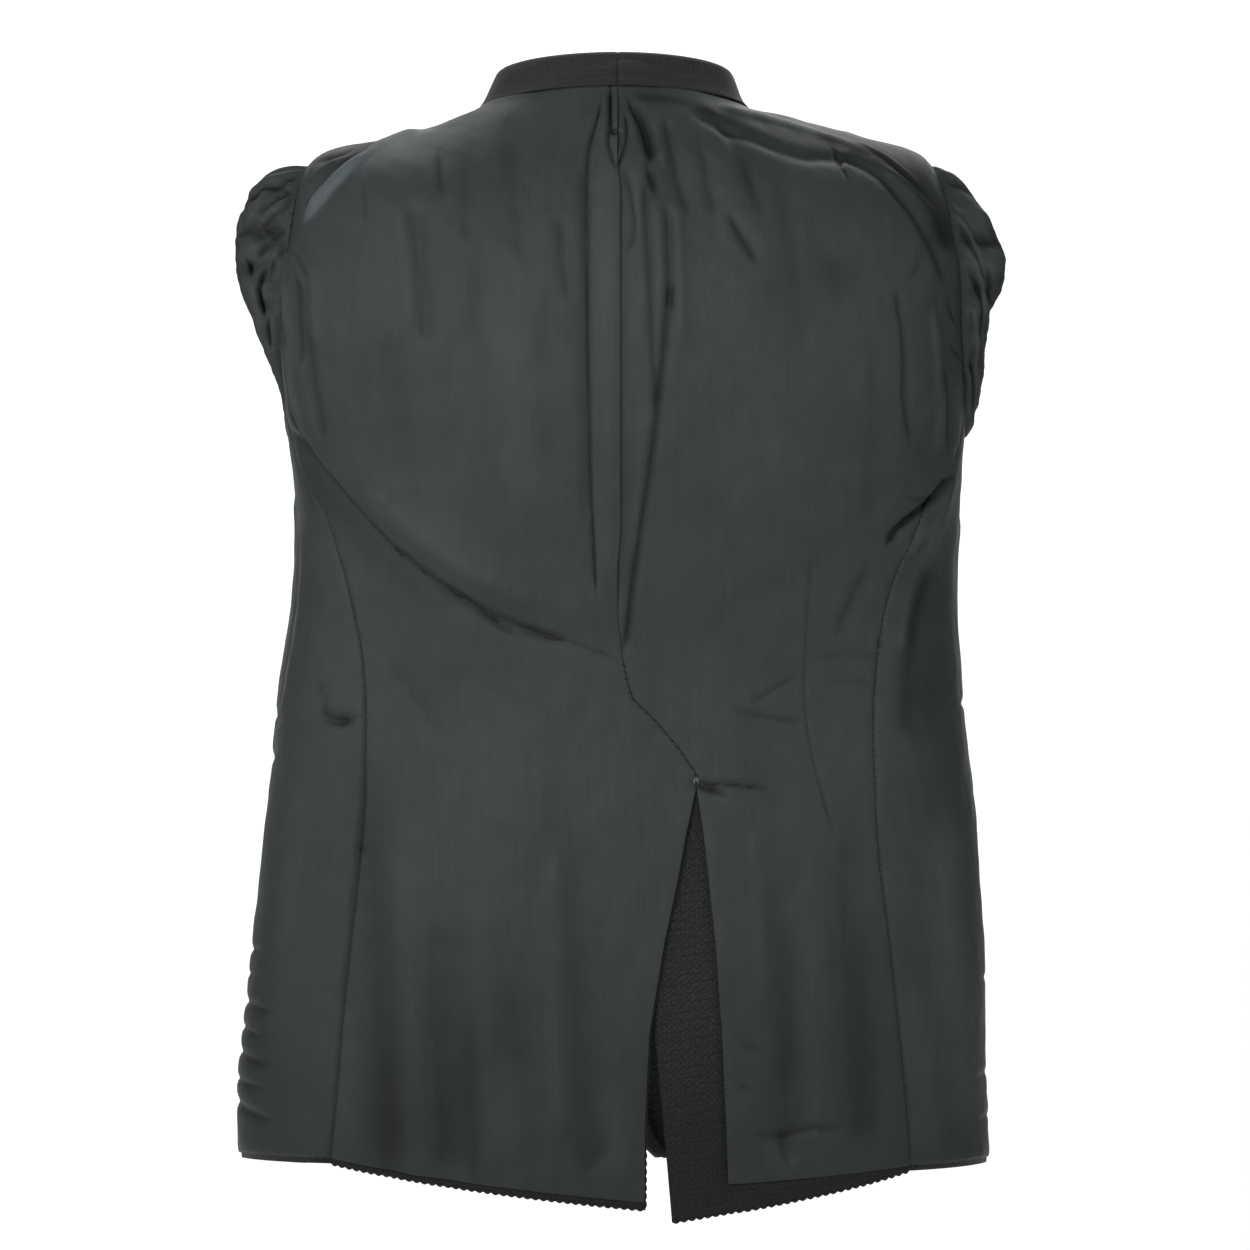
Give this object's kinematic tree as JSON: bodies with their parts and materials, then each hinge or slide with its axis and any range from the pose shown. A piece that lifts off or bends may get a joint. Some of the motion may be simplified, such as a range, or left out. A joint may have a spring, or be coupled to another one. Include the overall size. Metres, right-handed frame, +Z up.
{
  "type": "tuxedo jacket worn inside out",
  "caption": "Formal jacket turned inside out: satin lining outside, dark jacquard shell and shawl collar inside, turned-in sleeves, open front and a centre back vent.",
  "frame": {"origin": "back of the neck at the centre back, level with the neck seam, where the wearer's shoulders carry the jacket", "axes": "+Z up, -Y the way the wearer faces, +Y towards their back, +X towards their left"},
  "size_m": [0.5329, 0.2475, 0.7916],
  "materials": {
    "lining": "dark slate satin lining with a soft sheen and creases",
    "shell": "matt charcoal-black jacquard with a small curling repeat",
    "button": "black satin-covered button"
  },
  "bodies": {
    "root": {"lining_back_L": "lining", "lining_back_R": "lining", "lining_side_L": "lining", "lining_side_R": "lining", "lining_front_L": "lining", "lining_front_R": "lining", "shell_back_L": "shell", "shell_back_R": "shell", "shell_side_L": "shell", "shell_side_R": "shell", "shell_front_L": "shell", "shell_front_R": "shell", "facing_L": "shell", "facing_R": "shell", "sleeve_lining_L": "lining", "sleeve_lining_R": "lining", "sleeve_L": "shell", "sleeve_R": "shell", "button": "button"}
  },
  "joints": []
}
